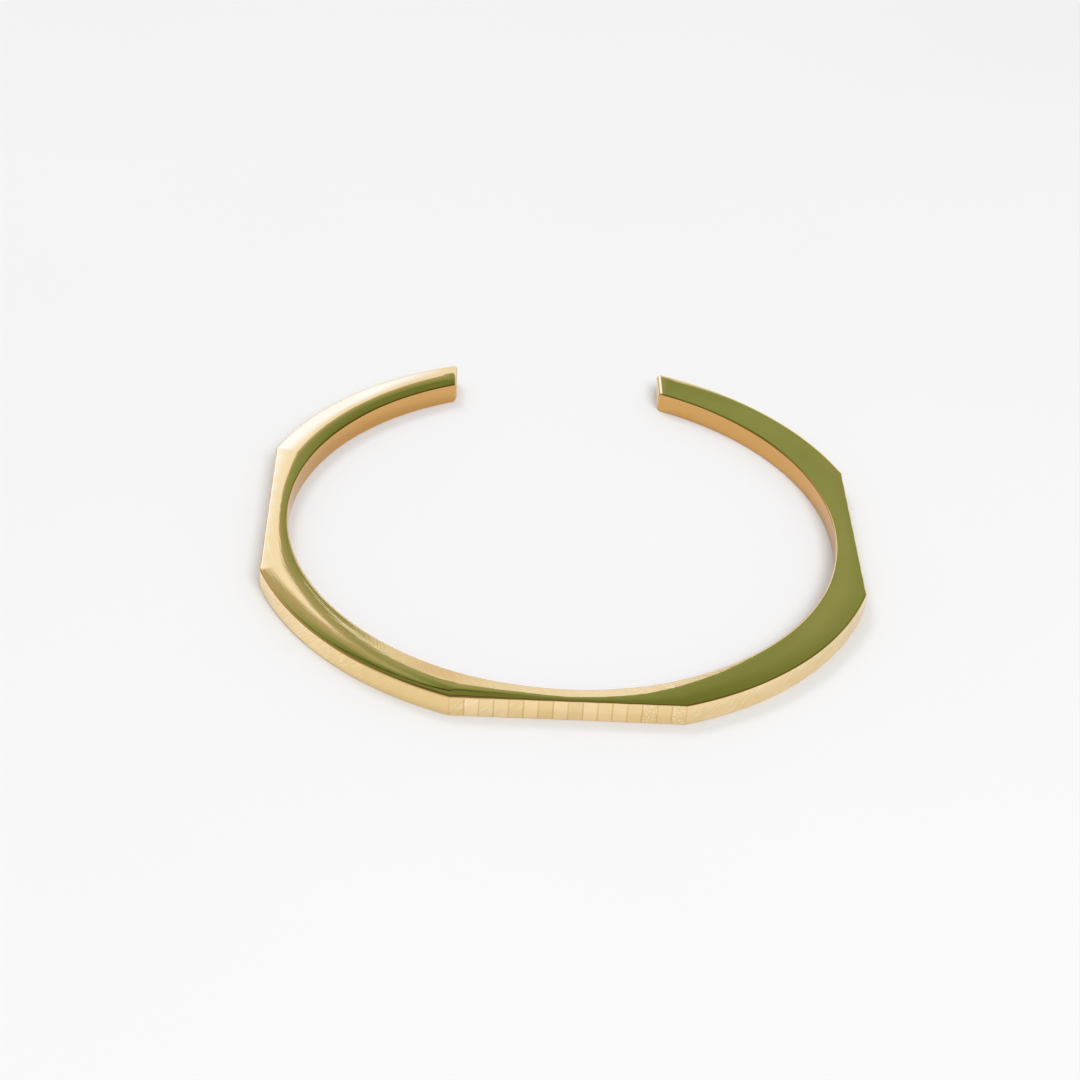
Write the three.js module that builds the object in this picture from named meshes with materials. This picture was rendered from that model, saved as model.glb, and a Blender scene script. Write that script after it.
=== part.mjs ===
// A polished metal cuff bracelet, in one piece: a band that is round inside, with three flats on its outside,
// round stretches between them, a low crown on its top face, a shallow bevel along the inside of the front,
// and an opening at the back that the wrist goes in by. The wall of each flat is ground in narrow upright strips.
// Millimetres, +Z up. The origin is the centre of the band, on the plane that the cuff rests on.
// Angles are in degrees round +Z from the front, which faces -Y, and grow towards the right side, +X.
import * as THREE from "three";

// Plan
const innerRadius = 30; // inside of the band
const flatWidth = 2.2; // width of the band at the middle of a flat
const roundExtra = 2.1; // how much wider the band is on its round stretches
const gapWidth = 24; // between the two ends, which are cut parallel
const flatFacings = [-90, 0, 90]; // left, front and right flat

// Section
const height = 2.4; // resting face to the rims of the top face
const crownSlope = 8; // slope of the top face at its rims, where its crown is fullest
const bevelSlope = 6; // fall of the inside bevel towards the wrist
const edgeBreak = 0.15; // softened edges of the inside and the resting face
const topEdgeRound = 0.4; // rounding of the outer top edge, where it is softest
const tipRound = 0.5; // rounding of the two ends

// Strips of a flat
const stripWidth = 1.48; // width to aim for, before a whole number of pairs is fitted in
const pleatDepth = 0.03; // every second line between strips lies this deep

// Fineness of the facets
const roundStep = 3.2; // degrees between sections on a round stretch
const crownSteps = 4; // facets across the crown
const edgeSteps = 3; // facets round the outer top edge
const tipSteps = 3; // sections round each end

// How the hand-polished top face changes round the band. bevel is a share of the width between the softened
// edges, crown of crownSlope, and edge of topEdgeRound.
const polish = [
  { angle: -180, bevel: 0.04, crown: 0.9, edge: 0.5 },
  { angle: -95, bevel: 0.04, crown: 1.0, edge: 0.5 },
  { angle: -62, bevel: 0.08, crown: 1.0, edge: 0.7 },
  { angle: -46, bevel: 0.22, crown: 0.95, edge: 0.8 },
  { angle: -31, bevel: 0.42, crown: 0.8, edge: 0.9 },
  { angle: -20, bevel: 0.48, crown: 0.7, edge: 1.0 },
  { angle: -9, bevel: 0.58, crown: 0.5, edge: 0.7 },
  { angle: 0, bevel: 0.73, crown: 0.3, edge: 0.5 },
  { angle: 12, bevel: 0.52, crown: 0.2, edge: 0.35 },
  { angle: 20, bevel: 0.29, crown: 0.15, edge: 0.3 },
  { angle: 31, bevel: 0.16, crown: 0.15, edge: 0.3 },
  { angle: 45, bevel: 0.05, crown: 0.15, edge: 0.3 },
  { angle: 180, bevel: 0.04, crown: 0.15, edge: 0.3 },
];

const { degToRad, radToDeg, smoothstep, lerp } = THREE.MathUtils;

// One column of the table at an angle, eased between its rows.
function polishAt(column, angle) {
  const next = Math.max(1, polish.findIndex((row) => row.angle >= angle));
  const [before, after] = [polish[next - 1], polish[next]];
  return lerp(before[column], after[column], smoothstep(angle, before.angle, after.angle));
}

// From the centre to each flat, and to the outside of the round stretches.
const flatReach = innerRadius + flatWidth;
const roundRadius = flatReach + roundExtra;

// Half a flat, as an angle and as a length, and the strips that fill a whole one.
const flatHalfAngle = radToDeg(Math.acos(flatReach / roundRadius));
const flatHalfLength = flatReach * Math.tan(degToRad(flatHalfAngle));
const stripCount = 2 * Math.max(1, Math.round(flatHalfLength / stripWidth));

// Where the plain band stops and the rounding of the right end begins.
const tipStart = 180 - radToDeg(Math.asin((gapWidth / 2 + tipRound) / innerRadius));

// A section straight across the band.
function sectionAt(angle, outer) {
  return { angle, outer, inset: 0, turnAt: () => degToRad(angle) };
}

// The lines between the strips of one flat, from its left corner to its right one.
function flatSections(facing) {
  return Array.from({ length: stripCount + 1 }, (_, line) => {
    const along = lerp(-flatHalfLength, flatHalfLength, line / stripCount);
    const turn = Math.atan(along / flatReach);
    const reach = flatReach - (line % 2) * pleatDepth;
    return sectionAt(facing + radToDeg(turn), reach / Math.cos(turn));
  });
}

// The sections of a round stretch, without those at its two ends.
function roundSections(from, to) {
  const count = Math.max(2, Math.round((to - from) / roundStep));
  return Array.from({ length: count - 1 }, (_, step) =>
    sectionAt(lerp(from, to, (step + 1) / count), roundRadius),
  );
}

// The sections that round off one end, each on a plane along the way in. side is -1 at the left and 1 at the right.
function endSections(side) {
  const sections = Array.from({ length: tipSteps + 1 }, (_, step) => {
    const turn = (step / tipSteps) * (Math.PI / 2);
    const aside = gapWidth / 2 + tipRound * (1 - Math.sin(turn));
    return {
      angle: side * tipStart,
      outer: roundRadius,
      inset: tipRound * (1 - Math.cos(turn)),
      turnAt: (r) => side * (Math.PI - Math.asin(aside / r)),
    };
  });
  return side > 0 ? sections : sections.reverse();
}

// Every section from the left end round the front to the right end.
function bandSections() {
  const sections = endSections(-1);
  let from = -tipStart;
  for (const facing of flatFacings) {
    sections.push(...roundSections(from, facing - flatHalfAngle), ...flatSections(facing));
    from = facing + flatHalfAngle;
  }
  sections.push(...roundSections(from, tipStart), ...endSections(1));
  return sections;
}

// The outline of one section as [distance from the axis, height], counter-clockwise from the lower inner edge.
function outlineOf({ angle, outer, inset }) {
  const round = topEdgeRound * polishAt("edge", angle);
  const rimStart = innerRadius + edgeBreak;
  const rimEnd = outer - round;
  const ridge = lerp(rimStart, rimEnd, polishAt("bevel", angle));
  const innerRim = height - (ridge - rimStart) * Math.tan(degToRad(bevelSlope));
  const crown = ((rimEnd - ridge) / 4) * Math.tan(degToRad(crownSlope * polishAt("crown", angle)));

  const outline = [
    [innerRadius, edgeBreak],
    [rimStart, 0],
    [outer - edgeBreak, 0],
    [outer, edgeBreak],
  ];
  for (let step = 0; step <= edgeSteps; step++) {
    const turn = (step / edgeSteps) * (Math.PI / 2);
    outline.push([rimEnd + round * Math.cos(turn), height - round + round * Math.sin(turn)]);
  }
  for (let step = 1; step <= crownSteps; step++) {
    const share = step / crownSteps;
    outline.push([lerp(rimEnd, ridge, share), height + crown * 4 * share * (1 - share)]);
  }
  outline.push([rimStart, innerRim], [innerRadius, innerRim - edgeBreak]);

  // Near an end the whole section draws in round its own middle.
  const middle = (innerRadius + outer) / 2;
  const widthShare = 1 - inset / (outer - middle);
  const heightShare = 1 - inset / (height / 2);
  return outline.map(([r, z]) => [
    middle + (r - middle) * widthShare,
    height / 2 + (z - height / 2) * heightShare,
  ]);
}

// A closed solid through the sections, with a fan over each end.
function loftBand(sections) {
  const outlines = sections.map(outlineOf);
  const size = outlines[0].length;
  const positions = [];
  const place = (section, [r, z]) => {
    const turn = section.turnAt(r);
    positions.push(r * Math.sin(turn), -r * Math.cos(turn), z);
  };
  outlines.forEach((outline, at) => outline.forEach((point) => place(sections[at], point)));

  const faces = [];
  for (let at = 0; at < outlines.length - 1; at++) {
    for (let side = 0; side < size; side++) {
      const here = at * size + side;
      const next = at * size + ((side + 1) % size);
      faces.push(here, next + size, next, here, here + size, next + size);
    }
  }

  const fanOver = (at, side) => {
    const hub = positions.length / 3;
    const middleOf = (axis) => outlines[at].reduce((sum, point) => sum + point[axis], 0) / size;
    place(sections[at], [middleOf(0), middleOf(1)]);
    for (let corner = 0; corner < size; corner++) {
      const rim = [at * size + corner, at * size + ((corner + 1) % size)];
      faces.push(hub, ...(side < 0 ? rim : rim.reverse()));
    }
  };
  fanOver(0, -1);
  fanOver(outlines.length - 1, 1);

  const geometry = new THREE.BufferGeometry();
  geometry.setAttribute("position", new THREE.Float32BufferAttribute(positions, 3));
  geometry.setIndex(faces);
  geometry.computeVertexNormals();
  return geometry;
}

// Gold plate over brass, polished to a mirror.
const polishedGold = new THREE.MeshStandardMaterial({ color: 0xf2cf8c, roughness: 0.08, metalness: 1 });

const cuff = new THREE.Mesh(loftBand(bandSections()), polishedGold);
cuff.name = "cuff_band";

const bracelet = new THREE.Group();
bracelet.add(cuff);

export default bracelet;
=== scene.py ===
import math
import random
from collections import namedtuple

import bmesh
import bpy
from mathutils import Matrix, Vector


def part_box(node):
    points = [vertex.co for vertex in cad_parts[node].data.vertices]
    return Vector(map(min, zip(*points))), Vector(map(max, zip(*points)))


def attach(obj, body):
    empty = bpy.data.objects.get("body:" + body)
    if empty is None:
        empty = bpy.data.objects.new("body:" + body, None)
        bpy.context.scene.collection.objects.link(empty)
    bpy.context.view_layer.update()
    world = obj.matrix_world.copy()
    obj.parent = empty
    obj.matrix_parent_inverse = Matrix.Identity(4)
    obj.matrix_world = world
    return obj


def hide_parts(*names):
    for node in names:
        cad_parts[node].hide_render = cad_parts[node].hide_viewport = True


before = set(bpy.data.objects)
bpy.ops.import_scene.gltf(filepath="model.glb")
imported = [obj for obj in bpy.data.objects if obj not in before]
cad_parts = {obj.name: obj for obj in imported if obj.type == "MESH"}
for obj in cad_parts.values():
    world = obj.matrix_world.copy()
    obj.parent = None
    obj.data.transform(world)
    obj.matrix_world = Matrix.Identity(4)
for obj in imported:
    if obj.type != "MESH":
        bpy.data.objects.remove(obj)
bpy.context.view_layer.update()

bl_info = {
    "name": "Gold cuff bracelet",
    "version": (1, 0, 0),
    "blender": (4, 5, 0),
    "location": "3D View > Sidebar > Cuff",
    "description": "Polished gold-plated cuff with flats and ground strips, on a pale studio floor",
    "category": "Object",
}

MM = 0.001
BAND = "cuff_band"
MATH = "ShaderNodeMath"
VECTOR_MATH = "ShaderNodeVectorMath"
MAP_RANGE = "ShaderNodeMapRange"
MIX = "ShaderNodeMix"
NOISE = "ShaderNodeTexNoise"
GROUP = "GeometryNodeGroup"

# How a share changes over a measure: where that starts and ends, and the share before and after.
Fade = namedtuple("Fade", "start end before after")

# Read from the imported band: its points, how far each lies from the middle of the wrist opening, the gap
# between its ends, and the far corner of its box.
band_points = [vertex.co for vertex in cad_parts[BAND].data.vertices]
band_radii = [point.xy.length for point in band_points]
band_gap = 2 * min(abs(point.x) for point in band_points if point.y > 0)
band_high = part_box(BAND)[1]


def linear_colour(hex_code):
    """An sRGB hex colour as linear red, green and blue."""
    shares = [int(hex_code[at : at + 2], 16) / 255 for at in (1, 3, 5)]
    return [share / 12.92 if share <= 0.04045 else ((share + 0.055) / 1.055) ** 2.4 for share in shares]


def length(name, description, default):
    """A property that holds a length."""
    return bpy.props.FloatProperty(
        name=name, description=description, default=default, min=0, unit="LENGTH", precision=5
    )


def turn(name, description, degrees):
    """A property that holds an angle, given in degrees."""
    return bpy.props.FloatProperty(
        name=name, description=description, default=math.radians(degrees), unit="ROTATION"
    )


def colour(name, description, hex_code):
    """A property that holds a colour, given as an sRGB hex code."""
    return bpy.props.FloatVectorProperty(
        name=name, description=description, default=linear_colour(hex_code), subtype="COLOR", min=0, max=1
    )


def factor(name, description, default):
    """A property that holds a number from 0 to 1."""
    return bpy.props.FloatProperty(
        name=name, description=description, default=default, min=0, max=1, subtype="FACTOR"
    )


class CuffSizes(bpy.types.PropertyGroup):
    """Sizes of the band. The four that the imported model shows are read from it."""

    inner_radius: length("Inner radius", "Middle of the wrist opening to the inside", min(band_radii))
    round_radius: length("Round radius", "Middle to the outside of the round stretches", max(band_radii))
    flat_reach: length("Flat reach", "Middle to each flat", band_high.x)
    gap_width: length("Gap width", "Between the two ends", band_gap)
    height: length("Height", "Resting face to the rims of the top face", 2.4 * MM)
    edge_break: length("Edge break", "Softened edges of the inside and the resting face", 0.15 * MM)
    top_edge_round: length("Top edge round", "Outer top edge, where it is softest", 0.4 * MM)
    tip_round: length("Tip round", "Rounding of the two ends", 0.5 * MM)
    strip_width: length("Strip width", "Width that the strips of a flat aim for", 1.48 * MM)
    pleat_depth: length("Pleat depth", "Depth of every second line between strips", 0.03 * MM)
    crown_slope: turn("Crown slope", "Slope of the top face at its rims, where it is fullest", 8)
    bevel_slope: turn("Bevel slope", "Fall of the inside bevel towards the wrist", 6)
    row_step: turn("Row step", "Between sections on a round stretch", 0.6)
    side_points: bpy.props.IntProperty(
        name="Side points", description="Points along each side of a section", default=26, min=8
    )


class CuffFinish(bpy.types.PropertyGroup):
    """Colours, wear and painted shade of the gold plate."""

    gold: colour("Gold", "Clean polished plate", "#fde2b0")
    # Amber also paints shade on the left of the bevel.
    amber: colour("Amber", "Deeper tone of the ground strips", "#eed297")
    # Bronze also paints shade on the inside wall, the softened edges, the inner rim and a patch of the bevel.
    bronze: colour("Bronze", "Thin plate on the inside and in the lines", "#d8a968")
    # Rub also paints the pits pale as glints.
    rub: colour("Rub", "Paler metal where the plate is rubbed", "#fff3d6")
    top_roughness: factor("Top roughness", "Mirror polish of the top face", 0.03)
    wall_roughness: factor("Wall roughness", "Ground walls", 0.2)


class CuffStage(bpy.types.PropertyGroup):
    """The camera, the floor, the even light and what the metal mirrors."""

    azimuth: turn("Azimuth", "Camera round the cuff, from the front towards the right", -3.05)
    elevation: turn("Elevation", "Camera above the floor", 34.5)
    roll: turn("Roll", "Turn of the camera about its own line of sight", 4.21)
    distance: length("Distance", "Camera to the point that it looks at", 264 * MM)
    target: bpy.props.FloatVectorProperty(
        name="Target",
        description="Point in the middle of the picture",
        default=(-2.52 * MM, -4.30 * MM, 2.4 * MM),
        subtype="TRANSLATION",
    )
    lens: bpy.props.FloatProperty(name="Lens", description="Focal length in millimetres", default=81.35)
    floor: colour("Floor", "Pale studio paper", "#f2f2f3")
    green: colour("Green", "Leafy backdrop that the top face mirrors", "#8b9c69")
    dark_green: colour("Dark green", "Upper part of the leafy backdrop", "#6f7f45")
    grass: colour("Grass", "Lower left part of the leafy backdrop", "#b3ad8b")
    bark: colour("Bark", "Upper right part of the leafy backdrop", "#5a4f2a")
    twig: colour("Twig", "Branch across the leafy backdrop", "#38301a")
    hessian: colour("Hessian", "Curtain on the far left, which the outer edge mirrors", "#b59b74")
    nylon: colour("Nylon", "Plain part of the dome", "#f3f3f3")
    window: colour("Window", "Upper part of the window", "#f9faf8")
    daylight: bpy.props.FloatVectorProperty(
        name="Daylight",
        description="Brightest part of the window, past what a screen shows",
        default=(1.05, 1.3, 2.0),
        subtype="COLOR",
        min=0,
    )
    even_light: factor("Even light", "Strength of the light from all round", 0.56)


# How the hand-polished top face changes round the band. bevel is a share of the width between the softened
# edges, crown of the crown slope, and edge of the top edge round. Angles are in degrees from the front.
POLISH = [
    {"angle": -180, "bevel": 0.04, "crown": 0.9, "edge": 0.5},
    {"angle": -95, "bevel": 0.04, "crown": 1.0, "edge": 0.5},
    {"angle": -62, "bevel": 0.08, "crown": 1.0, "edge": 0.7},
    {"angle": -46, "bevel": 0.22, "crown": 0.95, "edge": 0.8},
    {"angle": -31, "bevel": 0.42, "crown": 0.8, "edge": 0.9},
    {"angle": -20, "bevel": 0.48, "crown": 0.7, "edge": 1.0},
    {"angle": -9, "bevel": 0.58, "crown": 0.5, "edge": 0.7},
    {"angle": 0, "bevel": 0.73, "crown": 0.3, "edge": 0.5},
    {"angle": 12, "bevel": 0.52, "crown": 0.2, "edge": 0.35},
    {"angle": 20, "bevel": 0.29, "crown": 0.15, "edge": 0.3},
    {"angle": 31, "bevel": 0.16, "crown": 0.15, "edge": 0.3},
    {"angle": 45, "bevel": 0.05, "crown": 0.15, "edge": 0.3},
    {"angle": 180, "bevel": 0.04, "crown": 0.15, "edge": 0.3},
]


def polish_steps(column):
    """How fast a column of the table changes from each row to the next, for each degree."""
    pairs = zip(POLISH, POLISH[1:])
    return [(high[column] - low[column]) / (high["angle"] - low["angle"]) for low, high in pairs]


def polish_slope(column, row):
    """How fast a column changes at a row, for a smooth curve that stays between the rows."""
    steps = polish_steps(column)
    if row in (0, len(steps)) or steps[row - 1] * steps[row] <= 0:
        return 0
    return 2 * steps[row - 1] * steps[row] / (steps[row - 1] + steps[row])


def polish_at(column, angle):
    """One column of the table at an angle in degrees, on a smooth curve through its rows."""
    after = next(at for at in range(1, len(POLISH)) if POLISH[at]["angle"] >= angle)
    low, high = POLISH[after - 1], POLISH[after]
    width = high["angle"] - low["angle"]
    share = (angle - low["angle"]) / width
    eased = share * share * (3 - 2 * share)
    leaving = polish_slope(column, after - 1) * width * share * (1 - share) ** 2
    arriving = polish_slope(column, after) * width * share**2 * (1 - share)
    return low[column] + (high[column] - low[column]) * eased + leaving - arriving


def first_output(node):
    """The first output that the node's settings leave in use."""
    return next(socket for socket in node.outputs if socket.enabled)


def add_node(tree, kind, inputs=(), **settings):
    """Adds a node, sets it up, and links or fills its inputs, given in order or by name."""
    node = tree.nodes.new(kind)
    for name, value in settings.items():
        setattr(node, name, value)
    sockets = [socket for socket in node.inputs if socket.enabled]
    if isinstance(inputs, dict):
        sockets = [next(socket for socket in sockets if socket.name == name) for name in inputs]
        inputs = inputs.values()
    for socket, value in zip(sockets, inputs):
        if isinstance(value, bpy.types.Node):
            value = first_output(value)
        if isinstance(value, bpy.types.NodeSocket):
            tree.links.new(value, socket)
        elif value is not None:
            socket.default_value = value
    return node


# Sections of the band

# Where the flats face, in degrees from the front.
FLAT_FACINGS = (-90, 0, 90)

# What a section tells the loft: its turn from the front, how far out its outside, the ridge of its bevel and
# the start of its outer rounding lie, its crown's rise, how far it draws in all round, and how far from the
# cuff's middle plane it stands if it is part of an end.
SECTION_COLUMNS = ("turn", "outer", "ridge", "rim_end", "crown_rise", "inset", "aside")

# Places of the sections between two lines, as shares of a strip.
STRIP_ROWS = (0.02, 0.25, 0.5, 0.75, 0.98)

# Steps that round off an end.
TIP_ROWS = 8


def section(sizes, angle, outer, inset=0.0, aside=0.0):
    """The measures of the band's section at an angle in degrees, as the section columns name them."""
    rim_start = sizes.inner_radius + sizes.edge_break
    rim_end = outer - sizes.top_edge_round * polish_at("edge", angle)
    ridge = rim_start + (rim_end - rim_start) * polish_at("bevel", angle)
    slope = sizes.crown_slope * polish_at("crown", angle)
    crown_rise = (rim_end - ridge) * math.tan(slope)
    measures = (math.radians(angle), outer, ridge, rim_end, crown_rise, inset, aside)
    return dict(zip(SECTION_COLUMNS, measures))


def strip_pitch(sizes):
    """How wide each strip is, and how many fill a flat."""
    half_flat = math.sqrt(sizes.round_radius**2 - sizes.flat_reach**2)
    count = 2 * max(1, round(half_flat / sizes.strip_width))
    return 2 * half_flat / count, count


def flat_rows(sizes, facing):
    """Sections across one flat: at each line between strips, close beside it and between the lines."""
    pitch, count = strip_pitch(sizes)
    places = [float(line) for line in range(count + 1)]
    places += [line + share for line in range(count) for share in STRIP_ROWS]
    rows = []
    for place in sorted(places):
        along = (place - count / 2) * pitch
        off_even_line = 1 - abs(1 - place % 2)
        reach = sizes.flat_reach - sizes.pleat_depth * off_even_line
        angle = facing + math.degrees(math.atan(along / sizes.flat_reach))
        rows.append(section(sizes, angle, reach * math.hypot(1, along / sizes.flat_reach)))
    return rows


def round_rows(sizes, start, end):
    """Sections of a round stretch, without those at its two ends."""
    count = max(2, round((end - start) / math.degrees(sizes.row_step)))
    angles = [start + (end - start) * at / count for at in range(1, count)]
    return [section(sizes, angle, sizes.round_radius) for angle in angles]


def end_rows(sizes, side, start):
    """Sections that round off one end, each on a plane along the wrist's way in."""
    rows = []
    for at in range(TIP_ROWS + 1):
        angle = at / TIP_ROWS * math.pi / 2
        aside = sizes.gap_width / 2 + sizes.tip_round * (1 - math.sin(angle))
        inset = sizes.tip_round * (1 - math.cos(angle))
        rows.append(section(sizes, side * start, sizes.round_radius, inset, aside))
    return rows if side > 0 else rows[::-1]


def band_rows(sizes):
    """Every section from the left end round the front to the right end."""
    half_flat = math.degrees(math.acos(sizes.flat_reach / sizes.round_radius))
    tip_start = 180 - math.degrees(math.asin((sizes.gap_width / 2 + sizes.tip_round) / sizes.inner_radius))
    rows = end_rows(sizes, -1, tip_start)
    start = -tip_start
    for facing in FLAT_FACINGS:
        rows += round_rows(sizes, start, facing - half_flat) + flat_rows(sizes, facing)
        start = facing + half_flat
    return rows + round_rows(sizes, start, tip_start) + end_rows(sizes, 1, tip_start)


def section_list(rows):
    """A string of points, one for each section, that carries the sections' measures to the loft."""
    mesh = bpy.data.meshes.new("section_list")
    points = [(at * MM, 0, 0) for at in range(len(rows))]
    mesh.from_pydata(points, [(at, at + 1) for at in range(len(rows) - 1)], [])
    for column in SECTION_COLUMNS:
        attribute = mesh.attributes.new(column, "FLOAT", "POINT")
        attribute.data.foreach_set("value", [row[column] for row in rows])
    return mesh


# Geometry nodes

def new_geometry_tree(name, inputs, outputs):
    """An empty tree with the named inputs and outputs, each of the kind given."""
    tree = bpy.data.node_groups.new(name, "GeometryNodeTree")
    for socket, kind in inputs.items():
        tree.interface.new_socket(socket, in_out="INPUT", socket_type=kind)
    for socket, kind in outputs.items():
        tree.interface.new_socket(socket, in_out="OUTPUT", socket_type=kind)
    return tree


def rounded_edge_tree():
    """How far a rounded edge has fallen at a distance past the start of its rounding."""
    number = "NodeSocketFloat"
    tree = new_geometry_tree("rounded_edge", {"Past": number, "Radius": number}, {"Fall": number})
    given = add_node(tree, "NodeGroupInput").outputs
    past = add_node(tree, MATH, (given["Past"], 0.0), operation="MAXIMUM")
    past_squared = add_node(tree, MATH, (past, past), operation="MULTIPLY")
    radius_squared = add_node(tree, MATH, (given["Radius"], given["Radius"]), operation="MULTIPLY")
    rest = add_node(tree, MATH, (radius_squared, past_squared), operation="SUBTRACT")
    kept = add_node(tree, MATH, (rest, 0.0), operation="MAXIMUM")
    drop = add_node(tree, MATH, (kept,), operation="SQRT")
    fall = add_node(tree, MATH, (given["Radius"], drop), operation="SUBTRACT")
    add_node(tree, "NodeGroupOutput", (fall,))
    return tree


# The finish sees the bevel's edge over this width on either side of the ridge.
BEVEL_BLEND = 0.02 * MM

LOFT_INPUTS = {
    "Sections": "NodeSocketGeometry",
    "Inner Radius": "NodeSocketFloat",
    "Height": "NodeSocketFloat",
    "Edge Break": "NodeSocketFloat",
    "Bevel Fall": "NodeSocketFloat",
    "Side Points": "NodeSocketInt",
    "Material": "NodeSocketMaterial",
}


def band_loft_tree():
    """Sweeps a unit square along the sections, and shapes it at each one by that section's measures."""
    tree = new_geometry_tree("band_loft", LOFT_INPUTS, {"Band": "NodeSocketGeometry"})
    given = add_node(tree, "NodeGroupInput").outputs
    measure = {
        column: add_node(tree, "GeometryNodeInputNamedAttribute", (column,), data_type="FLOAT")
        for column in SECTION_COLUMNS
    }
    inner, height, edge = given["Inner Radius"], given["Height"], given["Edge Break"]
    outer, ridge, rim_end = measure["outer"], measure["ridge"], measure["rim_end"]

    path = add_node(tree, "GeometryNodeMeshToCurve", (given["Sections"],))
    square = add_node(tree, "GeometryNodeCurvePrimitiveQuadrilateral", {"Width": 1.0, "Height": 1.0})
    around = add_node(tree, MATH, (given["Side Points"], 4.0), operation="MULTIPLY")
    profile = add_node(tree, "GeometryNodeResampleCurve", {"Curve": square, "Count": around})
    marked = add_node(tree, "GeometryNodeCaptureAttribute", {"Geometry": profile})
    marked.capture_items.new("VECTOR", "Corner")
    tree.links.new(add_node(tree, "GeometryNodeInputPosition").outputs[0], marked.inputs["Corner"])
    tube = add_node(
        tree,
        "GeometryNodeCurveToMesh",
        {"Curve": path, "Profile Curve": marked.outputs["Geometry"], "Fill Caps": True},
    )
    corner = add_node(tree, "ShaderNodeSeparateXYZ", (marked.outputs["Corner"],)).outputs

    # Across the section, from the inside to the outside. Points gather near both edges.
    across = add_node(
        tree, MAP_RANGE, (corner["X"], -0.5, 0.5, inner, outer), interpolation_type="SMOOTHSTEP"
    )

    # Rounded edges: the outer top one, the two inner ones and the outer one on the resting face.
    rim_start = add_node(tree, MATH, (inner, edge), operation="ADD")
    foot_end = add_node(tree, MATH, (outer, edge), operation="SUBTRACT")
    past_rim = add_node(tree, MATH, (across, rim_end), operation="SUBTRACT")
    before_rim = add_node(tree, MATH, (rim_start, across), operation="SUBTRACT")
    past_foot = add_node(tree, MATH, (across, foot_end), operation="SUBTRACT")
    outer_round = add_node(tree, MATH, (outer, rim_end), operation="SUBTRACT")
    rounded = rounded_edge_tree()
    outer_fall = add_node(tree, GROUP, {"Past": past_rim, "Radius": outer_round}, node_tree=rounded)
    inner_fall = add_node(tree, GROUP, {"Past": before_rim, "Radius": edge}, node_tree=rounded)
    foot_fall = add_node(tree, GROUP, {"Past": past_foot, "Radius": edge}, node_tree=rounded)

    # The top face: its crown, its bevel and its two softened edges.
    share = add_node(tree, MAP_RANGE, (across, ridge, rim_end, 0.0, 1.0))
    rest = add_node(tree, MATH, (1.0, share), operation="SUBTRACT")
    hump = add_node(tree, MATH, (share, rest), operation="MULTIPLY")
    crowned = add_node(tree, MATH, (hump, measure["crown_rise"], height), operation="MULTIPLY_ADD")
    before_ridge = add_node(tree, MATH, (ridge, across), operation="SUBTRACT")
    bevel_run = add_node(tree, MATH, (before_ridge, 0.0), operation="MAXIMUM")
    bevel_fall = add_node(tree, MATH, (bevel_run, given["Bevel Fall"]), operation="MULTIPLY")
    top = crowned
    for fall in (bevel_fall, outer_fall, inner_fall):
        top = add_node(tree, MATH, (top, fall), operation="SUBTRACT")
    foot = add_node(tree, MATH, (foot_fall, inner_fall), operation="ADD")
    up = add_node(tree, MAP_RANGE, (corner["Y"], -0.5, 0.5, foot, top), interpolation_type="SMOOTHSTEP")

    # Near an end the whole section draws in round its own middle.
    inset = measure["inset"]
    inset_inner = add_node(tree, MATH, (inner, inset), operation="ADD")
    inset_outer = add_node(tree, MATH, (outer, inset), operation="SUBTRACT")
    inset_top = add_node(tree, MATH, (height, inset), operation="SUBTRACT")
    drawn_across = add_node(tree, MAP_RANGE, (across, inner, outer, inset_inner, inset_outer), clamp=False)
    drawn_up = add_node(tree, MAP_RANGE, (up, 0.0, height, inset, inset_top), clamp=False)

    # The sections of an end stand on planes along the wrist's way in, the others straight across the band.
    leaning = add_node(tree, MATH, (measure["aside"], drawn_across), operation="DIVIDE")
    lean = add_node(tree, MATH, (leaning,), operation="ARCSINE")
    from_front = add_node(tree, MATH, (math.pi, lean), operation="SUBTRACT")
    side = add_node(tree, MATH, (measure["turn"],), operation="SIGN")
    end_turn = add_node(tree, MATH, (from_front, side), operation="MULTIPLY")
    at_end = add_node(tree, "FunctionNodeCompare", (measure["aside"], 0.0), operation="GREATER_THAN")
    turned = add_node(
        tree,
        "GeometryNodeSwitch",
        {"Switch": at_end, "False": measure["turn"], "True": end_turn},
        input_type="FLOAT",
    )
    sine = add_node(tree, MATH, (turned,), operation="SINE")
    cosine = add_node(tree, MATH, (turned,), operation="COSINE")
    to_right = add_node(tree, MATH, (drawn_across, sine), operation="MULTIPLY")
    to_back = add_node(tree, MATH, (drawn_across, cosine), operation="MULTIPLY")
    to_front = add_node(tree, MATH, (to_back, -1.0), operation="MULTIPLY")
    place = add_node(tree, "ShaderNodeCombineXYZ", (to_right, to_front, drawn_up))
    placed = add_node(tree, "GeometryNodeSetPosition", {"Geometry": tube, "Position": place})

    # The finish asks where the bevel is.
    on_bevel = add_node(tree, MAP_RANGE, (before_ridge, -BEVEL_BLEND, BEVEL_BLEND, 0.0, 1.0))
    with_bevel = add_node(
        tree,
        "GeometryNodeStoreNamedAttribute",
        {"Geometry": placed, "Name": "bevel", "Value": on_bevel},
        data_type="FLOAT",
    )
    smooth = add_node(tree, "GeometryNodeSetShadeSmooth", {"Geometry": with_bevel})
    single = add_node(tree, "GeometryNodeRealizeInstances", {"Geometry": smooth})
    coated = add_node(tree, "GeometryNodeSetMaterial", {"Geometry": single, "Material": given["Material"]})
    add_node(tree, "NodeGroupOutput", (coated,))
    return tree


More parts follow.
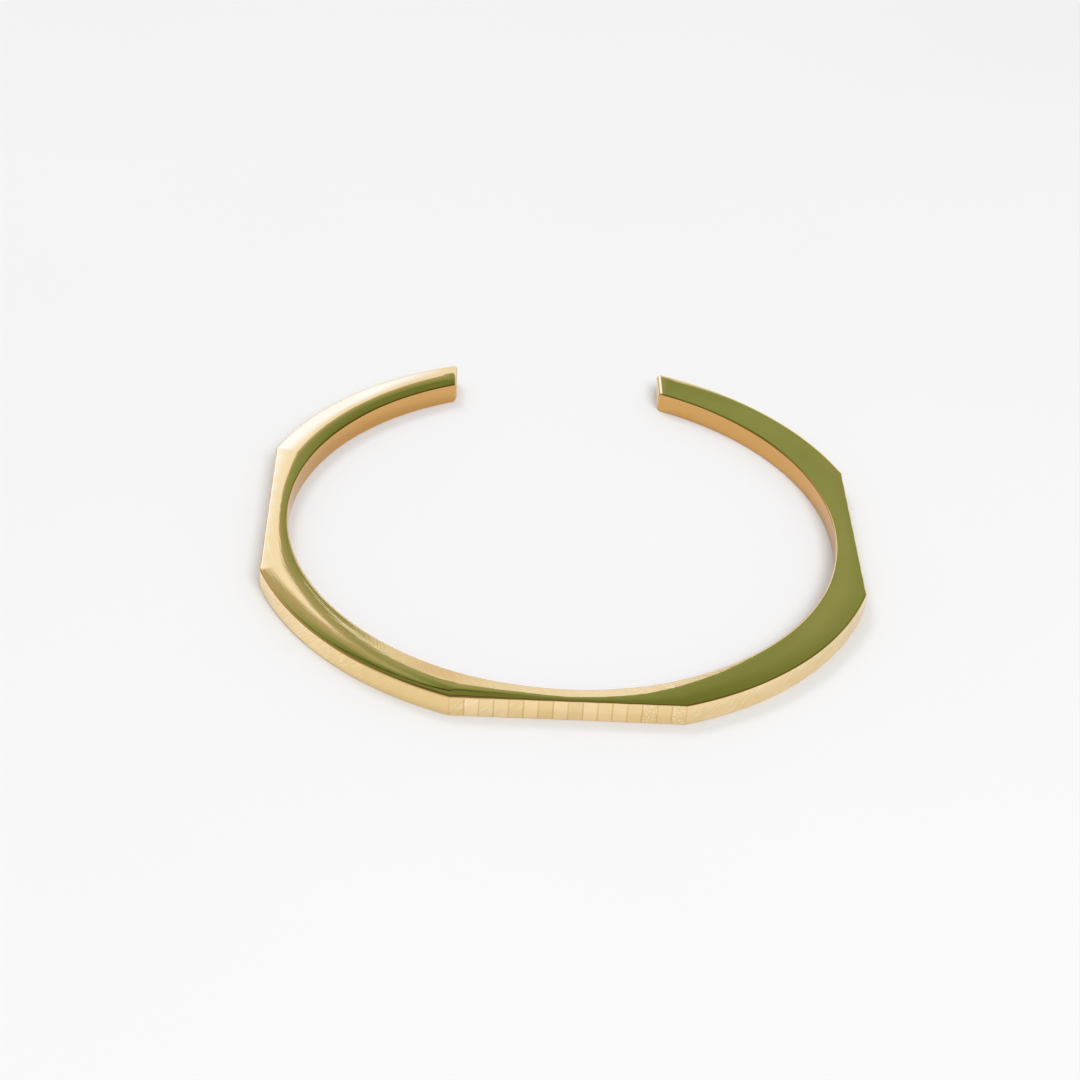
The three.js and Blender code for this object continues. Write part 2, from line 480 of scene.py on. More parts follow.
def mesh_from_tree(source, tree, values, name):
    """Runs the tree on the source mesh, and gives the result as an object of its own with a plain mesh."""
    piece = bpy.data.objects.new(name, source)
    bpy.context.scene.collection.objects.link(piece)
    modifier = piece.modifiers.new("loft", "NODES")
    modifier.node_group = tree
    for socket in tree.interface.items_tree:
        if socket.name in values:
            modifier[socket.identifier] = values[socket.name]
    evaluated = piece.evaluated_get(bpy.context.evaluated_depsgraph_get())
    mesh = bpy.data.meshes.new_from_object(evaluated)
    piece.modifiers.remove(modifier)
    piece.data = mesh
    mesh.name = name
    return piece


def face_outwards(mesh):
    """Turns the faces round if they point inwards."""
    shell = bmesh.new()
    shell.from_mesh(mesh)
    if shell.calc_volume(signed=True) < 0:
        bmesh.ops.reverse_faces(shell, faces=shell.faces)
    shell.to_mesh(mesh)
    shell.free()


# How the 16 strips of the front flat came out of the grinding, from left to right. tone goes from 0, pale, to
# 1, amber. scratch is the share of slanting scratches, and pits that of fine pits, painted pale as glints.
FRONT_STRIPS = [
    {"tone": 1.0, "scratch": 0.7, "pits": 0.0},
    {"tone": 0.1, "scratch": 0.9, "pits": 0.0},
    {"tone": 0.4, "scratch": 0.8, "pits": 0.0},
    {"tone": 0.15, "scratch": 0.5, "pits": 0.0},
    {"tone": 0.45, "scratch": 0.4, "pits": 0.0},
    {"tone": 0.0, "scratch": 0.1, "pits": 0.0},
    {"tone": 0.6, "scratch": 0.2, "pits": 0.0},
    {"tone": 0.05, "scratch": 0.1, "pits": 0.2},
    {"tone": 0.65, "scratch": 0.3, "pits": 0.0},
    {"tone": 0.05, "scratch": 0.0, "pits": 0.1},
    {"tone": 0.25, "scratch": 0.0, "pits": 0.0},
    {"tone": 0.15, "scratch": 0.1, "pits": 0.3},
    {"tone": 0.35, "scratch": 0.0, "pits": 0.0},
    {"tone": 0.5, "scratch": 0.0, "pits": 0.8},
    {"tone": 0.45, "scratch": 0.0, "pits": 0.1},
    {"tone": 0.5, "scratch": 0.2, "pits": 1.0},
]

# The side flats' strips: how much more amber every second one is, and the least and most of what is drawn.
AMBER_STEP = 0.5
TONE_DRAW = (-0.1, 0.3)
SCRATCH_DRAW = (0, 0.9)
PITS_DRAW = (-0.6, 0.8)
STRIP_SEED = 7

# The round stretches, and the corner left of the front flat, with the angles where it starts and is full.
ROUND_FINISH = {"tone": 0.3, "scratch": 0.8, "pits": 0.0}
CORNER_FINISH = {"tone": 1.1, "scratch": 0.15, "pits": 0.0}
CORNER_START = math.radians(-48)
CORNER_FULL = math.radians(-30)

# A point this far past a flat's end still counts as on it, in radians.
FLAT_MARGIN = 1e-4


def angle_round(point):
    """How far round the band from the front a point lies, in radians."""
    return math.atan2(point.x, -point.y)


def round_finish(point):
    """The finish of a round stretch at a point. Just left of the front flat it turns amber and even."""
    angle = angle_round(point)
    share = min(1, max(0, (angle - CORNER_START) / (CORNER_FULL - CORNER_START))) if angle < 0 else 0
    return {
        column: ROUND_FINISH[column] + (CORNER_FINISH[column] - ROUND_FINISH[column]) * share
        for column in ROUND_FINISH
    }


def side_strips(draw, count):
    """Strips of a side flat, drawn like those of the front one."""
    return [
        {
            "tone": AMBER_STEP * (line % 2 == 0) + draw.uniform(*TONE_DRAW),
            "scratch": draw.uniform(*SCRATCH_DRAW),
            "pits": draw.uniform(*PITS_DRAW),
        }
        for line in range(count)
    ]


def mark_strips(mesh, sizes):
    """Tells the finish how each face was ground, and how far each point lies from the middle of its flat."""
    pitch, count = strip_pitch(sizes)
    half_flat = math.acos(sizes.flat_reach / sizes.round_radius)
    draw = random.Random(STRIP_SEED)
    strips = {facing: side_strips(draw, count) for facing in FLAT_FACINGS}
    if count == len(FRONT_STRIPS):
        strips[0] = FRONT_STRIPS

    def on_flat(point):
        """The facing of the flat that a point is on, and how many strips past its middle, or None twice."""
        for facing in FLAT_FACINGS:
            past = angle_round(point) - math.radians(facing)
            if abs(past) < half_flat + FLAT_MARGIN:
                return facing, sizes.flat_reach * math.tan(past) / pitch
        return None, None

    finishes = []
    for face in mesh.polygons:
        facing, from_middle = on_flat(face.center)
        if facing is None:
            finishes.append(round_finish(face.center))
        else:
            line = int(from_middle + count / 2)
            finishes.append(strips[facing][min(count - 1, max(0, line))])
    for column in ROUND_FINISH:
        attribute = mesh.attributes.new("strip_" + column, "FLOAT", "FACE")
        attribute.data.foreach_set("value", [finish[column] for finish in finishes])

    # Counted from the middle, an even line keeps an even place. A point off the flats gets the place half a
    # strip past the last line, where no line shows.
    odd_half = count // 2 % 2
    off_flat = count / 2 + 0.5
    from_middles = [on_flat(vertex.co)[1] for vertex in mesh.vertices]
    places = [odd_half + (off_flat if place is None else abs(place)) for place in from_middles]
    attribute = mesh.attributes.new("strip_place", "FLOAT", "POINT")
    attribute.data.foreach_set("value", places)


# Materials

def new_material(name):
    """A material with an empty node tree, and that tree."""
    material = bpy.data.materials.new(name)
    material.use_nodes = True
    material.node_tree.nodes.clear()
    return material, material.node_tree


# Marks in the plate, along them and across them. Real grinding lines are about 0.02 mm apart and real buffing
# swirls 0.01 mm, which is too fine to show, so they are drawn about 0.16 mm and 0.14 mm apart.
GRIND_LENGTH = 1.8 * MM
GRIND_PITCH = 0.16 * MM
GRIND_SLANT = math.radians(-45)
BUFF_LENGTH = 5 * MM
BUFF_PITCH = 0.14 * MM
BUFF_WANDER = 1.2 * MM
WANDER_LENGTH = 5 * MM
PIT_PITCH = 0.26 * MM
SPECK_PITCH = 4.5 * MM
TONE_LENGTH = 6 * MM

# Where the finish changes. A wall is told by how level its face is, scratches, pits, streaks, specks and the
# drift of the tone by their patterns, and a line by how many strips past an even line it is. The others are
# in degrees round the band from the front, or from the middle of the patch.
PLATE_FADES = {
    "wall": Fade(0.85, 0.35, 0.0, 1.0),
    "scratch": Fade(0.5, 0.7, 0.0, 1.0),
    "pit": Fade(0.22, 0.42, 1.0, 0.0),
    "swirl start": Fade(-110.0, -75.0, 0.15, 1.0),
    "swirl end": Fade(-42.0, -22.0, 1.0, 0.1),
    "streak": Fade(0.55, 0.7, 0.0, 0.45),
    "speck": Fade(0.016, 0.024, 0.9, 0.0),
    "drift": Fade(0.35, 0.7, 0.0, 0.35),
    "left bevel shade": Fade(-25.0, 5.0, 0.9, 0.0),
    "deep line": Fade(0.93, 0.98, 0.0, 0.65),
    "shallow line": Fade(0.08, 0.02, 0.0, 0.45),
    "patch": Fade(2.0, 11.0, 0.4, 0.0),
}

# How strongly scratches show on the bevel, and painted shade on the softened edges and along the inner rim.
BEVEL_SCRATCH = 0.45
EDGE_PAINTED_SHADE = 3.0
RIM_PAINTED_SHADE = 0.9
RIM_FADE = 0.04 * MM

# The middle of the patch of painted shade on the bevel, in degrees.
SHADE_PATCH_ANGLE = -25.0

# What the bevel and the swirls add to the roughness.
BEVEL_ROUGHNESS = -0.15
SWIRL_ROUGHNESS = 0.2

# The finest grooves: their depth, and how much of it the light shows.
GROOVE_DEPTH = 0.01 * MM
GROOVE_SHARE = 0.4


def buffed_gold_plate(finish, sizes):
    """Gold plate over cast brass, ground on the walls and buffed on the top.

    To the eye it is a warm pale mirror. The walls keep fine slanting grinding lines, and the strips of the
    flats differ in tone, with thin lines between them. The top has buffing swirls on its left and a few
    bright specks.
    """
    material, tree = new_material("buffed_gold_plate")
    place = add_node(tree, "ShaderNodeTexCoord").outputs["Object"]
    xyz = add_node(tree, "ShaderNodeSeparateXYZ", (place,)).outputs
    level = add_node(tree, VECTOR_MATH, (place, (1.0, 1.0, 0.0)), operation="MULTIPLY")
    radius = add_node(tree, VECTOR_MATH, (level,), operation="LENGTH").outputs["Value"]
    forward = add_node(tree, MATH, (xyz["Y"], -1.0), operation="MULTIPLY")
    angle = add_node(tree, MATH, (xyz["X"], forward), operation="ARCTAN2")
    along = add_node(tree, MATH, (angle, sizes.flat_reach), operation="MULTIPLY")
    normal = add_node(tree, "ShaderNodeNewGeometry").outputs["Normal"]
    upward = add_node(tree, "ShaderNodeSeparateXYZ", (normal,)).outputs["Z"]
    levelness = add_node(tree, MATH, (upward,), operation="ABSOLUTE")
    wall = add_node(tree, MAP_RANGE, (levelness, *PLATE_FADES["wall"]))
    inside_end = sizes.inner_radius + 2 * sizes.edge_break
    outside = add_node(tree, MATH, (radius, inside_end), operation="GREATER_THAN")
    outer_wall = add_node(tree, MATH, (wall, outside), operation="MULTIPLY")
    inner_wall = add_node(tree, MATH, (wall, outer_wall), operation="SUBTRACT")
    mark = {
        name: add_node(tree, "ShaderNodeAttribute", attribute_name=name).outputs["Fac"]
        for name in ("bevel", "strip_tone", "strip_scratch", "strip_pits", "strip_place")
    }

    # Grinding lines slant over the walls and the bevel.
    over = add_node(tree, MIX, (wall, radius, xyz["Z"]), data_type="FLOAT")
    ground_place = add_node(tree, "ShaderNodeCombineXYZ", (along, over, 0.0))
    slanted = add_node(tree, "ShaderNodeVectorRotate", {"Vector": ground_place, "Angle": GRIND_SLANT})
    ground = add_node(
        tree, VECTOR_MATH, (slanted, (1 / GRIND_LENGTH, 1 / GRIND_PITCH, 0.0)), operation="MULTIPLY"
    )
    grinding = add_node(tree, NOISE, {"Vector": ground, "Scale": 1.0, "Detail": 2.0})
    scratch = add_node(tree, MAP_RANGE, (grinding, *PLATE_FADES["scratch"]))
    wall_scratch = add_node(tree, MATH, (scratch, mark["strip_scratch"]), operation="MULTIPLY")
    bevel_scratch = add_node(tree, MATH, (scratch, BEVEL_SCRATCH), operation="MULTIPLY")
    ground_scratch = add_node(tree, MIX, (mark["bevel"], wall_scratch, bevel_scratch), data_type="FLOAT")

    # The coarsest wheel left pits, painted pale as glints.
    pit = add_node(tree, "ShaderNodeTexVoronoi", {"Vector": place, "Scale": 1 / PIT_PITCH})
    pit_spot = add_node(tree, MAP_RANGE, (pit, *PLATE_FADES["pit"]))
    pit_glints = add_node(tree, MATH, (pit_spot, mark["strip_pits"]), operation="MULTIPLY", use_clamp=True)
    marks = add_node(tree, MATH, (ground_scratch, pit_glints), operation="MAXIMUM")
    ground_share = add_node(tree, MATH, (wall, mark["bevel"]), operation="MAXIMUM")
    # Scratches, and pits painted pale as glints, show paler on the ground faces.
    rubbed = add_node(tree, MATH, (marks, ground_share), operation="MULTIPLY")

    # Buffing swirls follow the band on the left of the top face.
    bend = add_node(tree, NOISE, {"Vector": place, "Scale": 1 / WANDER_LENGTH, "Detail": 1.0})
    bent = add_node(tree, MATH, (bend, BUFF_WANDER, radius), operation="MULTIPLY_ADD")
    top_place = add_node(tree, "ShaderNodeCombineXYZ", (along, bent, 0.0))
    swept = add_node(
        tree, VECTOR_MATH, (top_place, (1 / BUFF_LENGTH, 1 / BUFF_PITCH, 0.0)), operation="MULTIPLY"
    )
    buffing = add_node(tree, NOISE, {"Vector": swept, "Scale": 1.0, "Detail": 3.0})
    turned = add_node(tree, MATH, (angle,), operation="DEGREES")
    swirl_start = add_node(tree, MAP_RANGE, (turned, *PLATE_FADES["swirl start"]))
    swirl_end = add_node(tree, MAP_RANGE, (turned, *PLATE_FADES["swirl end"]))
    swirl = add_node(tree, MATH, (swirl_start, swirl_end), operation="MULTIPLY")
    streak = add_node(tree, MAP_RANGE, (buffing, *PLATE_FADES["streak"]))
    swirled = add_node(tree, MATH, (streak, swirl), operation="MULTIPLY")

    # A few bright specks of dust and nicks, up to 0.2 mm across.
    dust = add_node(tree, "ShaderNodeTexVoronoi", {"Vector": place, "Scale": 1 / SPECK_PITCH})
    speck = add_node(tree, MAP_RANGE, (dust, *PLATE_FADES["speck"]))
    top_marks = add_node(tree, MATH, (swirled, speck), operation="MAXIMUM")
    pale = add_node(tree, MATH, (rubbed, top_marks), operation="MAXIMUM")

    # The tone of the plate drifts, the left of the bevel gets painted shade in amber, and the strips of the
    # flats differ.
    drift = add_node(tree, NOISE, {"Vector": place, "Scale": 1 / TONE_LENGTH, "Detail": 2.0})
    drifted = add_node(tree, MAP_RANGE, (drift, *PLATE_FADES["drift"]))
    left_bevel_painted_shade = add_node(tree, MAP_RANGE, (turned, *PLATE_FADES["left bevel shade"]))
    bevel_shade_and_drift = add_node(tree, MATH, (left_bevel_painted_shade, mark["bevel"], drifted), operation="MULTIPLY_ADD")
    tone = add_node(
        tree, MATH, (mark["strip_tone"], outer_wall, bevel_shade_and_drift), operation="MULTIPLY_ADD", use_clamp=True
    )
    toned = add_node(tree, MIX, (tone, (*finish.gold, 1), (*finish.amber, 1)), data_type="RGBA")
    lined = add_node(tree, MIX, (pale, toned, (*finish.rub, 1)), data_type="RGBA")

    # Thin lines between the strips: every second one is the deep one.
    beside = add_node(tree, MATH, (mark["strip_place"], 1.0), operation="PINGPONG")
    deep = add_node(tree, MAP_RANGE, (beside, *PLATE_FADES["deep line"]))
    shallow = add_node(tree, MAP_RANGE, (beside, *PLATE_FADES["shallow line"]))
    line = add_node(tree, MATH, (deep, shallow), operation="MAXIMUM")
    wall_line = add_node(tree, MATH, (line, outer_wall), operation="MULTIPLY")

    # Painted shade: bronze on the softened edges, the inside wall, the inner rim and a patch of the bevel
    # stands in for dark reflections. The lines between the strips are bronze too.
    not_wall = add_node(tree, MATH, (1.0, wall), operation="SUBTRACT")
    between = add_node(tree, MATH, (wall, not_wall), operation="MULTIPLY")
    # Painted shade: the softened edges turn bronze.
    edge_painted_shade = add_node(tree, MATH, (between, EDGE_PAINTED_SHADE), operation="MULTIPLY")
    rim_end = sizes.inner_radius + sizes.edge_break
    # Painted shade: a thin bronze line along the inner rim.
    rim_painted_shade = add_node(tree, MAP_RANGE, (radius, rim_end - RIM_FADE, rim_end + RIM_FADE, RIM_PAINTED_SHADE, 0.0))
    # Painted shade: a bronze patch on the left of the bevel.
    from_patch = add_node(tree, MATH, (turned, SHADE_PATCH_ANGLE), operation="SUBTRACT")
    off_patch = add_node(tree, MATH, (from_patch,), operation="ABSOLUTE")
    patch = add_node(tree, MAP_RANGE, (off_patch, *PLATE_FADES["patch"]))
    bevel_painted_shade = add_node(tree, MATH, (patch, mark["bevel"]), operation="MULTIPLY")
    # Painted shade on the inside wall, together with the lines between the strips.
    wall_lines_and_inside_shade = add_node(tree, MATH, (wall_line, inner_wall), operation="MAXIMUM")
    edges = add_node(tree, MATH, (edge_painted_shade, rim_painted_shade), operation="MAXIMUM")
    top_painted_shade = add_node(tree, MATH, (edges, bevel_painted_shade), operation="MAXIMUM")
    bronze_lines_and_shade = add_node(tree, MATH, (wall_lines_and_inside_shade, top_painted_shade), operation="MAXIMUM")
    coat = add_node(tree, MIX, (bronze_lines_and_shade, lined, (*finish.bronze, 1)), data_type="RGBA")

    rough = add_node(tree, MAP_RANGE, (ground_share, 0.0, 1.0, finish.top_roughness, finish.wall_roughness))
    smoother = add_node(tree, MATH, (mark["bevel"], BEVEL_ROUGHNESS, rough), operation="MULTIPLY_ADD")
    scuffed = add_node(tree, MATH, (swirled, SWIRL_ROUGHNESS, smoother), operation="MULTIPLY_ADD")
    buffed = add_node(tree, MATH, (buffing, swirl), operation="MULTIPLY")
    grooves = add_node(tree, MIX, (ground_share, buffed, grinding), data_type="FLOAT")
    relief = add_node(
        tree, "ShaderNodeBump", {"Strength": GROOVE_SHARE, "Distance": GROOVE_DEPTH, "Height": grooves}
    )
    shader = add_node(
        tree,
        "ShaderNodeBsdfPrincipled",
        {"Base Color": coat, "Metallic": 1.0, "Roughness": scuffed, "Normal": relief},
    )
    add_node(tree, "ShaderNodeOutputMaterial", (shader,))
    return material


# The paper's soft mottling: how wide it is, how dark, and how much of that its pattern lets show.
MOTTLE_LENGTH = 60 * MM
MOTTLE_SHADE = 0.8
MOTTLE_FADE = Fade(0.3, 0.7, 0.0, 0.06)


def matt_paper(stage):
    """White seamless paper, pressed smooth, which gives a flat pale ground with no shine."""
    material, tree = new_material("matt_white_paper")
    place = add_node(tree, "ShaderNodeTexCoord").outputs["Object"]
    mottle = add_node(tree, NOISE, {"Vector": place, "Scale": 1 / MOTTLE_LENGTH, "Detail": 2.0})
    share = add_node(tree, MAP_RANGE, (mottle, *MOTTLE_FADE))
    shade = [MOTTLE_SHADE * part for part in stage.floor]
    tint = add_node(tree, MIX, (share, (*stage.floor, 1), (*shade, 1)), data_type="RGBA")
    shader = add_node(tree, "ShaderNodeBsdfPrincipled", {"Base Color": tint, "Roughness": 0.9})
    add_node(tree, "ShaderNodeOutputMaterial", (shader,))
    return material


# Where the dome's picture changes round it, in degrees from behind the cuff towards the right. What the
# foot's fades give is in degrees too.
AZIMUTH_FADES = {
    "foot height": Fade(-2.5, 0.5, 37.0, 28.5),
    "foot drop": Fade(14.0, 34.0, 0.0, 12.0),
    "foot softness": Fade(-2.5, 0.5, 1.5, 0.4),
    "grass": Fade(0.0, 5.0, 1.0, 0.0),
    "bark": Fade(5.0, 12.0, 0.0, 1.0),
    "branch width": Fade(0.5, 1.6, 1.0, 2.2),
    "branch end": Fade(0.5, 3.5, 1.0, 0.0),
    "window right": Fade(-3.8, -1.3, 1.0, 0.0),
    "window left": Fade(-36.0, -26.0, 0.0, 1.0),
    "curtain right": Fade(-36.0, -26.0, 0.9, 0.0),
    "curtain left": Fade(-120.0, -100.0, 0.0, 1.0),
}

# Where it changes upwards, in degrees from the floor.
ELEVATION_FADES = {
    "bark": Fade(39.0, 45.0, 0.0, 1.0),
    "bark above": Fade(60.0, 70.0, 0.0, 1.0),
    "window sill": Fade(16.0, 22.0, 0.0, 1.0),
    "dark room": Fade(38.0, 50.0, 0.0, 0.9),
}
DAYLIGHT_FADE = Fade(34.5, 28.0, 0.0, 1.0)

# In degrees from straight behind, to either side.
BACKDROP_FADE = Fade(75.0, 95.0, 1.0, 0.0)

# In degrees above the backdrop's foot.
DARK_LEAF_FADE = Fade(6.0, 11.0, 0.0, 1.0)
GRASS_FADE = Fade(3.0, 7.0, 1.0, 0.0)

# In degrees from the middle of the branch.
BRANCH_FADE = Fade(0.3, 1.0, 0.9, 0.0)

# By the patterns.
LEAF_FADE = Fade(0.35, 0.65, -0.15, 0.3)
STEM_FADE = Fade(0.55, 0.7, 0.0, 0.1)

# Leaves and stems to a radian of the dome.
LEAF_COUNT = 12.0
STEM_COUNT = 15.0

# The branch bends at an azimuth and a height. From there its line falls to the right and rises to the left,
# by these shares of the squared degrees.
BRANCH_BEND = -6.0
BRANCH_HEIGHT = 46.6
BRANCH_FALL_RIGHT = -0.115
BRANCH_RISE_LEFT = 0.02


def lit_dome(stage):
    """White softbox nylon, lit from outside, with a bright window on the left and a leafy print behind.

    The gold mirrors it: cream on the left and olive green elsewhere on the top, with soft edges between.
    """
    material, tree = new_material("lit_softbox_nylon")
    place = add_node(tree, "ShaderNodeTexCoord").outputs["Object"]
    direction = add_node(tree, VECTOR_MATH, (place,), operation="NORMALIZE")
    xyz = add_node(tree, "ShaderNodeSeparateXYZ", (direction,)).outputs
    rise = add_node(tree, MATH, (xyz["Z"],), operation="ARCSINE")
    bearing = add_node(tree, MATH, (xyz["X"], xyz["Y"]), operation="ARCTAN2")
    elevation = add_node(tree, MATH, (rise,), operation="DEGREES")
    azimuth = add_node(tree, MATH, (bearing,), operation="DEGREES")

    across = {name: add_node(tree, MAP_RANGE, (azimuth, *fade)) for name, fade in AZIMUTH_FADES.items()}
    up = {name: add_node(tree, MAP_RANGE, (elevation, *fade)) for name, fade in ELEVATION_FADES.items()}

    # The backdrop's foot is high on the left and lower behind, and falls to the right of that.
    foot = add_node(tree, MATH, (across["foot height"], across["foot drop"]), operation="SUBTRACT")
    height = add_node(tree, MATH, (elevation, foot), operation="SUBTRACT")
    above = add_node(tree, MAP_RANGE, (height, 0.0, across["foot softness"], 0.0, 1.0))
    off_back = add_node(tree, MATH, (azimuth,), operation="ABSOLUTE")
    behind = add_node(tree, MAP_RANGE, (off_back, *BACKDROP_FADE))
    backdrop = add_node(tree, MATH, (above, behind), operation="MULTIPLY")

    # It has leaves that darken upwards from its foot, and dry grass at its lower left.
    leaves = add_node(tree, NOISE, {"Vector": direction, "Scale": LEAF_COUNT, "Detail": 1.0})
    leaf_shade = add_node(tree, MAP_RANGE, (leaves, *LEAF_FADE))
    upper = add_node(tree, MAP_RANGE, (height, *DARK_LEAF_FADE))
    depth = add_node(tree, MATH, (leaf_shade, upper), operation="ADD", use_clamp=True)
    green = add_node(tree, MIX, (depth, (*stage.green, 1), (*stage.dark_green, 1)), data_type="RGBA")
    low = add_node(tree, MAP_RANGE, (height, *GRASS_FADE))
    dry = add_node(tree, MATH, (low, across["grass"]), operation="MULTIPLY")
    stems = add_node(tree, NOISE, {"Vector": direction, "Scale": STEM_COUNT, "Detail": 0.0})
    stem_share = add_node(tree, MAP_RANGE, (stems, *STEM_FADE))
    grass_share = add_node(tree, MATH, (dry, stem_share), operation="MAXIMUM")
    grassy = add_node(tree, MIX, (grass_share, green, (*stage.grass, 1)), data_type="RGBA")

    # It has bark at its upper right, and all along its top.
    upper_right = add_node(tree, MATH, (up["bark"], across["bark"]), operation="MULTIPLY")
    bark_share = add_node(tree, MATH, (upper_right, up["bark above"]), operation="MAXIMUM")
    barked = add_node(tree, MIX, (bark_share, grassy, (*stage.bark, 1)), data_type="RGBA")

    # One dark branch bends across the left of it.
    from_bend = add_node(tree, MATH, (azimuth, BRANCH_BEND), operation="SUBTRACT")
    right_of_bend = add_node(tree, MATH, (from_bend, 0.0), operation="MAXIMUM")
    left_of_bend = add_node(tree, MATH, (from_bend, 0.0), operation="MINIMUM")
    right_squared = add_node(tree, MATH, (right_of_bend, right_of_bend), operation="MULTIPLY")
    left_squared = add_node(tree, MATH, (left_of_bend, left_of_bend), operation="MULTIPLY")
    right_line = add_node(
        tree, MATH, (right_squared, BRANCH_FALL_RIGHT, BRANCH_HEIGHT), operation="MULTIPLY_ADD"
    )
    branch_line = add_node(tree, MATH, (left_squared, BRANCH_RISE_LEFT, right_line), operation="MULTIPLY_ADD")
    from_line = add_node(tree, MATH, (elevation, branch_line), operation="SUBTRACT")
    off_line = add_node(tree, MATH, (from_line,), operation="ABSOLUTE")
    off_branch = add_node(tree, MATH, (off_line, across["branch width"]), operation="DIVIDE")
    branch_side = add_node(tree, MAP_RANGE, (off_branch, *BRANCH_FADE))
    branch = add_node(tree, MATH, (branch_side, across["branch end"]), operation="MULTIPLY")
    branched = add_node(tree, MIX, (branch, barked, (*stage.twig, 1)), data_type="RGBA")

    # The window lies on the left, below the backdrop, and is brightest at its foot.
    between = add_node(tree, MATH, (across["window right"], across["window left"]), operation="MULTIPLY")
    window = add_node(tree, MATH, (between, up["window sill"]), operation="MULTIPLY")
    brightness = add_node(tree, MAP_RANGE, (elevation, *DAYLIGHT_FADE), interpolation_type="SMOOTHSTEP")
    glow = add_node(tree, MIX, (brightness, (*stage.window, 1), (*stage.daylight, 1)), data_type="RGBA")

    # A curtain hangs to the left of the window, and the rest of the dome is plain.
    curtain = add_node(tree, MATH, (across["curtain right"], across["curtain left"]), operation="MULTIPLY")
    plain = add_node(tree, MIX, (curtain, (*stage.nylon, 1), (*stage.hessian, 1)), data_type="RGBA")
    lit = add_node(tree, MIX, (window, plain, glow), data_type="RGBA")

    # Above the lit wall the room is dark, in front of the cuff too.
    shaded = add_node(tree, MIX, (up["dark room"], lit, (*stage.bark, 1)), data_type="RGBA")
    picture = add_node(tree, MIX, (backdrop, shaded, branched), data_type="RGBA")
    light = add_node(tree, "ShaderNodeEmission", {"Color": picture, "Strength": 1.0})
    add_node(tree, "ShaderNodeOutputMaterial", (light,))
    return material


# Stage

# Sizes in metres. The floor lies a hair below the cuff.
FLOOR_SIZE = 6.0
FLOOR_DROP = 0.01 * MM
DOME_RADIUS = 12.0
DOME_SEGMENTS = 96

# Where each soft light stands, in metres from the cuff, how wide it is, and its power in watts.
SOFT_LIGHTS = [
    {"name": "back_soft_light", "position": (-0.3, 0.45, 0.75), "width": 0.35, "power": 1.6},
    {"name": "front_soft_light", "position": (0.3, -0.65, 0.8), "width": 0.6, "power": 5.8},
]


def stage_object(name, material, build):
    """A stage object whose mesh the build function makes."""
    mesh = bpy.data.meshes.new(name)
    shell = bmesh.new()
    build(shell)
    shell.to_mesh(mesh)
    shell.free()
    mesh.materials.append(material)
    piece = bpy.data.objects.new(name, mesh)
    bpy.context.scene.collection.objects.link(piece)
    return piece


def build_floor(shell):
    bmesh.ops.create_grid(shell, size=FLOOR_SIZE / 2, matrix=Matrix.Translation((0, 0, -FLOOR_DROP)))


def build_dome(shell):
    """The half of a sphere that stands on the floor."""
    bmesh.ops.create_uvsphere(
        shell, u_segments=DOME_SEGMENTS, v_segments=DOME_SEGMENTS // 2, radius=DOME_RADIUS
    )
    below = [vertex for vertex in shell.verts if vertex.co.z < -FLOOR_DROP]
    bmesh.ops.delete(shell, geom=below, context="VERTS")


def view_from(azimuth, elevation):
    """The direction from the cuff towards someone at an azimuth and an elevation."""
    level = math.cos(elevation)
    return Vector((math.sin(azimuth) * level, -math.cos(azimuth) * level, math.sin(elevation)))


def add_soft_light(name, position, width, power):
    """A round light that points at the cuff and that the metal doesn't mirror."""
    light = bpy.data.lights.new(name, "AREA")
    light.shape = "DISK"
    light.size = width
    light.energy = power
    lamp = bpy.data.objects.new(name, light)
    lamp.location = position
    lamp.rotation_euler = (-Vector(position)).to_track_quat("-Z", "Y").to_euler()
    lamp.visible_glossy = False
    bpy.context.scene.collection.objects.link(lamp)


def add_even_light(stage):
    """Light from all round, which fills the shadows."""
    world = bpy.data.worlds.new("studio_world")
    world.use_nodes = True
    tree = world.node_tree
    tree.nodes.clear()
    air = add_node(tree, "ShaderNodeBackground", {"Color": (1, 1, 1, 1), "Strength": stage.even_light})
    add_node(tree, "ShaderNodeOutputWorld", (air,))
    bpy.context.scene.world = world


def add_camera(stage):
    """The camera at the photo's angle."""
    back = view_from(stage.azimuth, stage.elevation)
    place = Vector(stage.target) + back * stage.distance
    camera_data = bpy.data.cameras.new("camera")
    camera_data.lens = stage.lens
    camera_data.clip_start = 1 * MM
    camera = bpy.data.objects.new("camera", camera_data)
    looking = (-back).to_track_quat("-Z", "Y").to_matrix().to_4x4()
    camera.matrix_world = Matrix.Translation(place) @ looking @ Matrix.Rotation(stage.roll, 4, "Z")
    bpy.context.scene.collection.objects.link(camera)
    bpy.context.scene.camera = camera


# Operators

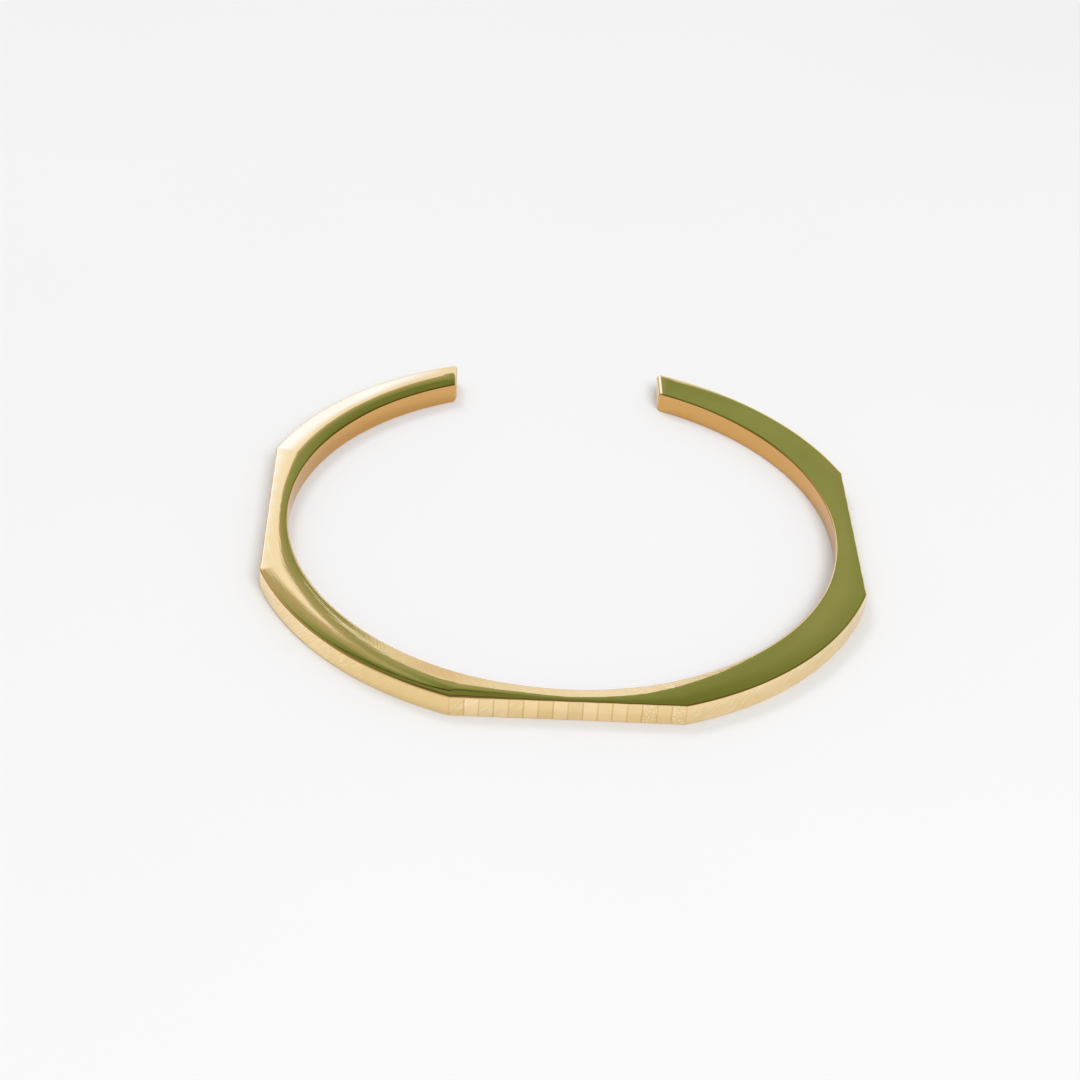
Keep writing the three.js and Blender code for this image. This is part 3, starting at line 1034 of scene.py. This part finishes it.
class CUFF_OT_band(bpy.types.Operator):
    """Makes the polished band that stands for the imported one"""

    bl_idname = "cuff.band"
    bl_label = "Band"

    def execute(self, context):
        sizes = context.scene.cuff_sizes
        values = {
            "Inner Radius": sizes.inner_radius,
            "Height": sizes.height,
            "Edge Break": sizes.edge_break,
            "Bevel Fall": math.tan(sizes.bevel_slope),
            "Side Points": sizes.side_points,
            "Material": buffed_gold_plate(context.scene.cuff_finish, sizes),
        }
        band = mesh_from_tree(section_list(band_rows(sizes)), band_loft_tree(), values, "polished_band")
        face_outwards(band.data)
        mark_strips(band.data, sizes)
        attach(band, "root")
        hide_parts(BAND)
        return {"FINISHED"}


class CUFF_OT_stage(bpy.types.Operator):
    """Sets up the floor, the lit dome, the lights and the camera"""

    bl_idname = "cuff.stage"
    bl_label = "Stage"

    def execute(self, context):
        stage = context.scene.cuff_stage
        stage_object("studio_floor", matt_paper(stage), build_floor)
        dome = stage_object("studio_dome", lit_dome(stage), build_dome)
        dome.visible_camera = False
        dome.visible_diffuse = False
        dome.visible_shadow = False
        add_even_light(stage)
        for light in SOFT_LIGHTS:
            add_soft_light(**light)
        add_camera(stage)
        context.scene.view_settings.view_transform = "Standard"
        return {"FINISHED"}


class CUFF_PT_panel(bpy.types.Panel):
    """Sizes, finish and stage of the cuff"""

    bl_idname = "CUFF_PT_panel"
    bl_label = "Gold cuff bracelet"
    bl_space_type = "VIEW_3D"
    bl_region_type = "UI"
    bl_category = "Cuff"

    def draw(self, context):
        for group in (context.scene.cuff_sizes, context.scene.cuff_finish, context.scene.cuff_stage):
            box = self.layout.box()
            for name in group.__annotations__:
                box.prop(group, name)
        for operator in (CUFF_OT_band, CUFF_OT_stage):
            self.layout.operator(operator.bl_idname)


CLASSES = (CuffSizes, CuffFinish, CuffStage, CUFF_OT_band, CUFF_OT_stage, CUFF_PT_panel)


def register():
    for kind in CLASSES:
        bpy.utils.register_class(kind)
    bpy.types.Scene.cuff_sizes = bpy.props.PointerProperty(type=CuffSizes)
    bpy.types.Scene.cuff_finish = bpy.props.PointerProperty(type=CuffFinish)
    bpy.types.Scene.cuff_stage = bpy.props.PointerProperty(type=CuffStage)


def unregister():
    del bpy.types.Scene.cuff_stage
    del bpy.types.Scene.cuff_finish
    del bpy.types.Scene.cuff_sizes
    for kind in reversed(CLASSES):
        bpy.utils.unregister_class(kind)


def main():
    register()
    bpy.ops.cuff.stage()
    bpy.ops.cuff.band()


if __name__ == "__main__":
    main()
